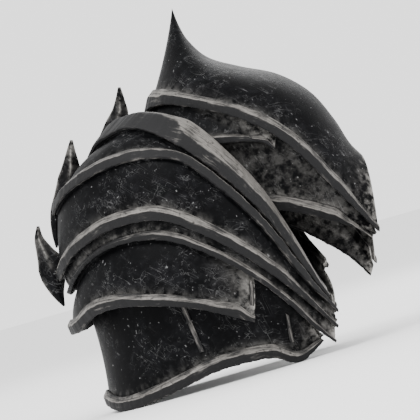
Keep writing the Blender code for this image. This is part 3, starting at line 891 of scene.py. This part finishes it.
def dress_fin(name, lame, rows):
    """Point = centre + across x half x |cos|^crisp + depth x half x flat x |sin|^crisp, with the
    centre and the half width on smooth curves through the rows."""
    knots = np.linspace(0, 1, len(rows))
    u = np.linspace(0, 1, FIN_RINGS)
    across_at, height_at, width_at = (smooth_line(knots, column, u) * PERCENT
                                      for column in zip(*rows))
    centre = np.stack([across_at, np.zeros_like(u), height_at], -1)
    run = unit(np.gradient(centre, axis=0))
    side = np.stack([run[:, 2], np.zeros_like(u), -run[:, 0]], -1)
    angle = np.linspace(0, 2 * math.pi, FIN_SIDES, endpoint=False)
    half = width_at[:, None, None] / 2
    points = (centre[:, None] + side[:, None] * half * lens(np.cos(angle))[None, :, None]
              + np.array([0, FIN_FLAT, 0]) * half * lens(np.sin(angle))[None, :, None])
    keel = KEEL_SHINE * np.abs(np.sin(angle))[None] ** KEEL_THIN
    edges = EDGE_SHINE * np.abs(np.cos(angle))[None] ** EDGE_THIN
    grown = np.clip((u[:, None] - KEEL_STARTS) * KEEL_GROWS, 0, 1)
    wear_and_painted_light = np.clip(keel * grown + edges + u[:, None] ** POINT_THIN, 0, 1)
    length = path_length(centre)[:, None]
    fin = skin(name, points, wear_and_painted_light, length, half[..., 0] * angle[None], PLATE)
    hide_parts(lame.name + "_rim")
    return fin


for name, (lame, rows) in FINS.items():
    print(name, len(dress_fin(name, lame, rows).data.polygons), "faces")

# %% [markdown]
# ## Seams
#
# Thin raised strips cover the joins in the two lowest lames. Each follows its plate, so it is a
# small profile carried down the surface at one place round the hoop.

# %% Seams
SEAMS = {
    "lower_end": ("lower", 0.99, 0.99, 0.10, 0.66),
    "foot_seam": ("foot", 0.49, 0.53, 0.38, 0.82),
    "foot_end_seam": ("foot", 0.905, 0.90, 0.16, 0.66),
}
SEAM_WIDTH = 0.004
SEAM_PROUD = 0.0015
SEAM_CORNERS = np.array([(0.0, 0.0), (1.0, 0.0), (1.0, 0.7), (0.5, 1.0), (0.0, 0.7)])
SEAM_STATIONS = 60
SEAM_STEP = 0.02
SEAM_WEAR = 0.7


def dress_seam(name, side):
    """The strip's width is turned into a step of t by the plate's own length round the hoop."""
    lame_name, t_top, t_low, v_top, v_low = SEAMS[name]
    lame = next(one for one in LAMES if one.name == lame_name)
    u = np.linspace(0, 1, SEAM_STATIONS)
    t, v = side * (t_top + (t_low - t_top) * u), v_top + (v_low - v_top) * u
    moved = lame.point(t, v) - lame.point(t - side * SEAM_STEP, v)
    pace = np.linalg.norm(moved, axis=-1) / SEAM_STEP
    profile = rounded(SEAM_CORNERS, RIM_ROUND, RIM_CORNER_STEPS)
    t_all = t[:, None] - side * (SEAM_WIDTH / pace)[:, None] * profile[None, :, 0]
    v_all = np.broadcast_to(v[:, None], t_all.shape)
    proud = RIM_SEAT + SEAM_PROUD * profile[None, :, 1]
    points = lame.point(t_all, v_all) + lame.normal(t_all, v_all) * proud[..., None]
    half = {1: "front", -1: "back"}[side]
    strip = skin(f"{name}_strip_{half}", points, profile[None, :, 1] * SEAM_WEAR,
                 path_length(lame.point(t, v))[:, None], profile[None, :, 0] * SEAM_WIDTH, RIM)
    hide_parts(f"{name}_{half}")


for name in SEAMS:
    for side in (1, -1):
        dress_seam(name, side)

for name in ("seat_post_front", "seat_post_back"):
    post = frame["nodes"][name]
    post.data.materials.clear()
    post.data.materials.append(PLATE)

# %% [markdown]
# ## Stage, light and camera
#
# A pale floor, pale surroundings and three large soft lights, so that dark metal shows by its
# sheen. The long lens flattens the view as the photograph's does, and the camera is rolled, because
# the photograph has the arm's axis upright.

# %% Stage
FLOOR_REACH = 200.0
ROOM_STRENGTH = 2.0


def pale_floor():
    mesh = bpy.data.meshes.new("floor")
    corners = [(-1, -1), (1, -1), (1, 1), (-1, 1)]
    mesh.from_pydata([(x * FLOOR_REACH, y * FLOOR_REACH, 0) for x, y in corners], [],
                     [(0, 1, 2, 3)])
    finish = Finish("pale_floor")
    finish.feed(finish.shader.inputs["Base Color"], (0.85, 0.85, 0.85, 1.0))
    finish.feed(finish.shader.inputs["Roughness"], 0.95)
    finish.feed(finish.shader.inputs["Specular IOR Level"], 0.0)
    mesh.materials.append(finish.material)
    floor = bpy.data.objects.new("floor", mesh)
    bpy.context.scene.collection.objects.link(floor)


pale_floor()
world = bpy.data.worlds.new("pale_room")
bpy.context.scene.world = world
world.use_nodes = True
world.node_tree.nodes["Background"].inputs["Color"].default_value = (1.0, 1.0, 1.0, 1.0)
world.node_tree.nodes["Background"].inputs["Strength"].default_value = ROOM_STRENGTH

# %% [markdown]
# The key light is high at the left and in front, the fill is low at the right, and the third light
# is behind. Each row gives a lamp's place, the side of its square and its power in watts.

# %% Lights
PHOTO_MIDDLE = np.array([43.75, 0.0, 49.25]) * PERCENT
TARGET = Vector(stand(PHOTO_MIDDLE).tolist())
LIGHTS = {
    "key": ((-0.9, -1.4, 1.8), 1.0, 48.0),
    "fill": ((1.6, -1.6, 0.9), 1.2, 16.0),
    "back_light": ((0.6, 1.6, 1.6), 1.2, 25.0),
}
for name, (place, size, watts) in LIGHTS.items():
    lamp = bpy.data.lights.new(name, "AREA")
    lamp.size, lamp.energy = size, watts
    thing = bpy.data.objects.new(name, lamp)
    thing.location = place
    thing.rotation_euler = (TARGET - Vector(place)).to_track_quat("-Z", "Y").to_euler()
    bpy.context.scene.collection.objects.link(thing)

# %% [markdown]
# The camera looks slightly upwards at the middle of the photograph, from just above the floor.

# %% Camera
AZIMUTH, ELEVATION = math.radians(2.0), math.radians(-1.2)
DISTANCE = 2.4
PHOTO_WIDTH = 105 * PERCENT
SENSOR = 36.0
way = Vector((math.sin(AZIMUTH) * math.cos(ELEVATION), -math.cos(AZIMUTH) * math.cos(ELEVATION),
              math.sin(ELEVATION)))
camera_data = bpy.data.cameras.new("camera")
camera_data.sensor_width = SENSOR
camera_data.lens = SENSOR * DISTANCE / PHOTO_WIDTH
camera = bpy.data.objects.new("camera", camera_data)
camera.matrix_world = (Matrix.Translation(TARGET + way * DISTANCE)
                       @ way.to_track_quat("Z", "Y").to_matrix().to_4x4()
                       @ Matrix.Rotation(-TILT, 4, "Z"))
bpy.context.scene.collection.objects.link(camera)
bpy.context.scene.camera = camera

# %% [markdown]
# ## The last update
#
# The view layer is updated once more, so that every object's place is worked out.

# %% The last update
bpy.context.view_layer.update()
